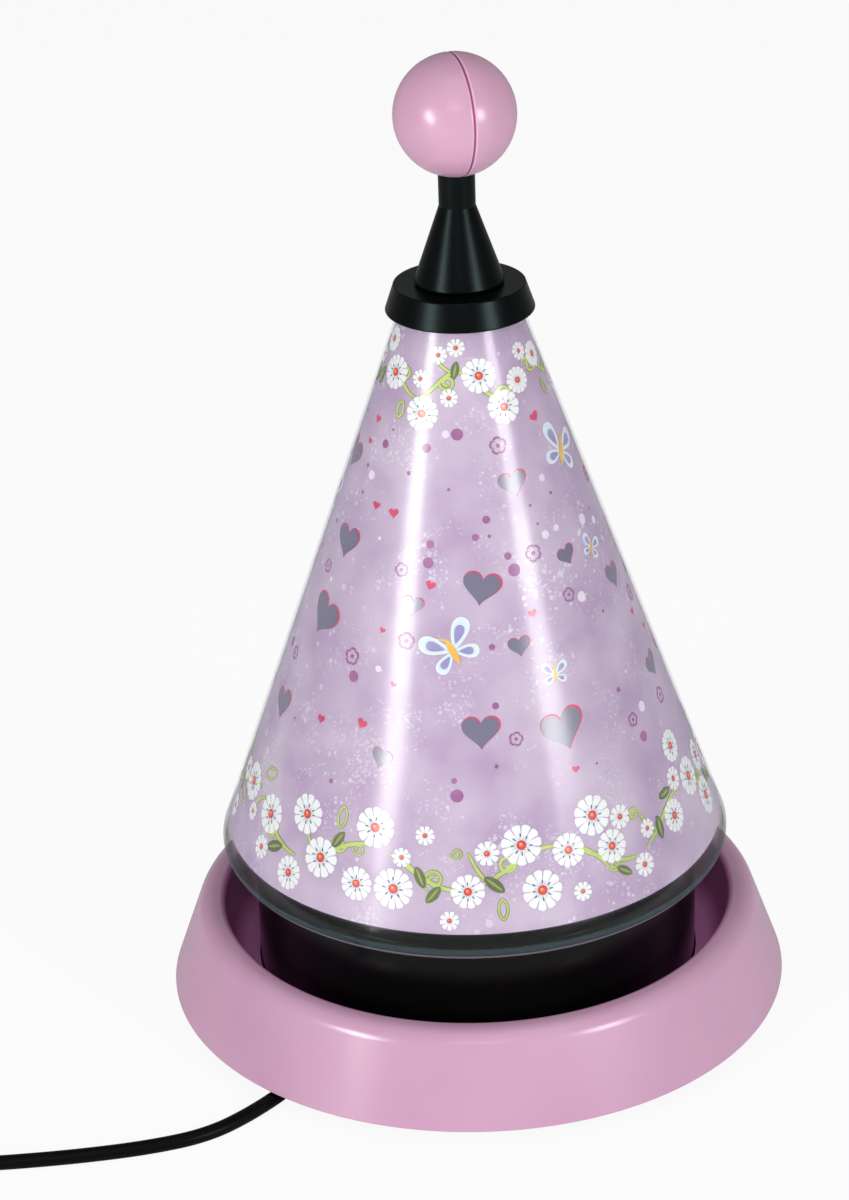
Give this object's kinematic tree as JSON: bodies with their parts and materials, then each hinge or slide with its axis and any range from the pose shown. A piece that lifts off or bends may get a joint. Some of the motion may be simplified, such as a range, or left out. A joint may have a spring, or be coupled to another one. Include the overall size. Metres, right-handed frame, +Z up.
{
  "type": "rotating motion lamp",
  "caption": "Tabletop motion lamp: a clear cone on a drum and ring covers a printed film cone that turns on a needle over the bulb, with a ball finial and a cord with a switch and plug.",
  "frame": {"origin": "on the table at the middle of the ring, under its centre", "axes": "+Z up along the axis of the lamp; the front is -Y; the cord leaves towards -X and -Y"},
  "size_m": [0.4284, 0.2495, 0.3584],
  "materials": {
    "pink_moulding": "satin",
    "black_moulding": "fine texture",
    "black_gloss": "gloss",
    "black_satin": "satin",
    "pink_satin": "satin",
    "clear_plastic": "clear plastic, polished",
    "printed_film": "printed, satin",
    "wheel_white": "satin",
    "brass": "turned",
    "fitting_steel": "zinc plated",
    "screw_steel": "zinc plated",
    "wire_steel": "drawn",
    "holder_black": "satin",
    "bulb_cap": "plain",
    "bulb_glass": "clear",
    "foot_rubber": "matt",
    "cord_rubber": "satin",
    "switch_black": "satin",
    "tie_black": "satin",
    "plug_black": "satin",
    "pin_metal": "nickel plated"
  },
  "bodies": {
    "base": {"base_ring": "pink_moulding", "bottom_plate": "black_moulding", "rubber_feet": "foot_rubber", "plate_screws": "screw_steel", "base_drum": "black_gloss", "cord_gland": "cord_rubber", "inner_lead": "cord_rubber", "cord_clamp": "black_moulding", "clamp_screws": "screw_steel", "threaded_nipple": "fitting_steel", "lock_nut": "fitting_steel", "holder_body": "holder_black", "holder_sleeve": "brass", "holder_contact": "brass", "bulb_cap": "bulb_cap", "bulb_glass": "bulb_glass", "needle_bow": "wire_steel", "push_nuts": "screw_steel", "needle_ferrule": "brass", "pivot_needle": "wire_steel", "mains_cord": "cord_rubber", "switch_lower": "switch_black", "switch_upper": "switch_black", "rocker_pin": "screw_steel", "switch_screws": "screw_steel", "cord_to_coil": "cord_rubber", "cord_coil": "cord_rubber", "cord_tie": "tie_black", "cord_to_plug": "cord_rubber", "plug_body": "plug_black", "plug_pins": "pin_metal"},
    "cover": {"clear_shade": "clear_plastic", "top_collar": "black_satin", "finial": "black_satin", "finial_screw": "screw_steel", "ball_half_left": "pink_satin", "ball_half_right": "pink_satin"},
    "rotor": {"turbine_wheel": "wheel_white", "bearing_cup": "brass", "film_cone": "printed_film"},
    "rocker": {"switch_rocker": "switch_black"}
  },
  "joints": [
    {"name": "cover_lift", "type": "slide", "parent": "base", "child": "cover", "axis": [0, 0, 1], "range_m": [0, 0.16]},
    {"name": "rotor_spin", "type": "hinge", "parent": "cover", "child": "rotor", "pos_m": [0, 0, 0.206], "axis": [0, 0, 1], "continuous": true},
    {"name": "switch_press", "type": "hinge", "parent": "base", "child": "rocker", "pos_m": [-0.233, -0.1215, 0.0106], "axis": [0, -1, 0], "range_deg": [0, 14]}
  ]
}
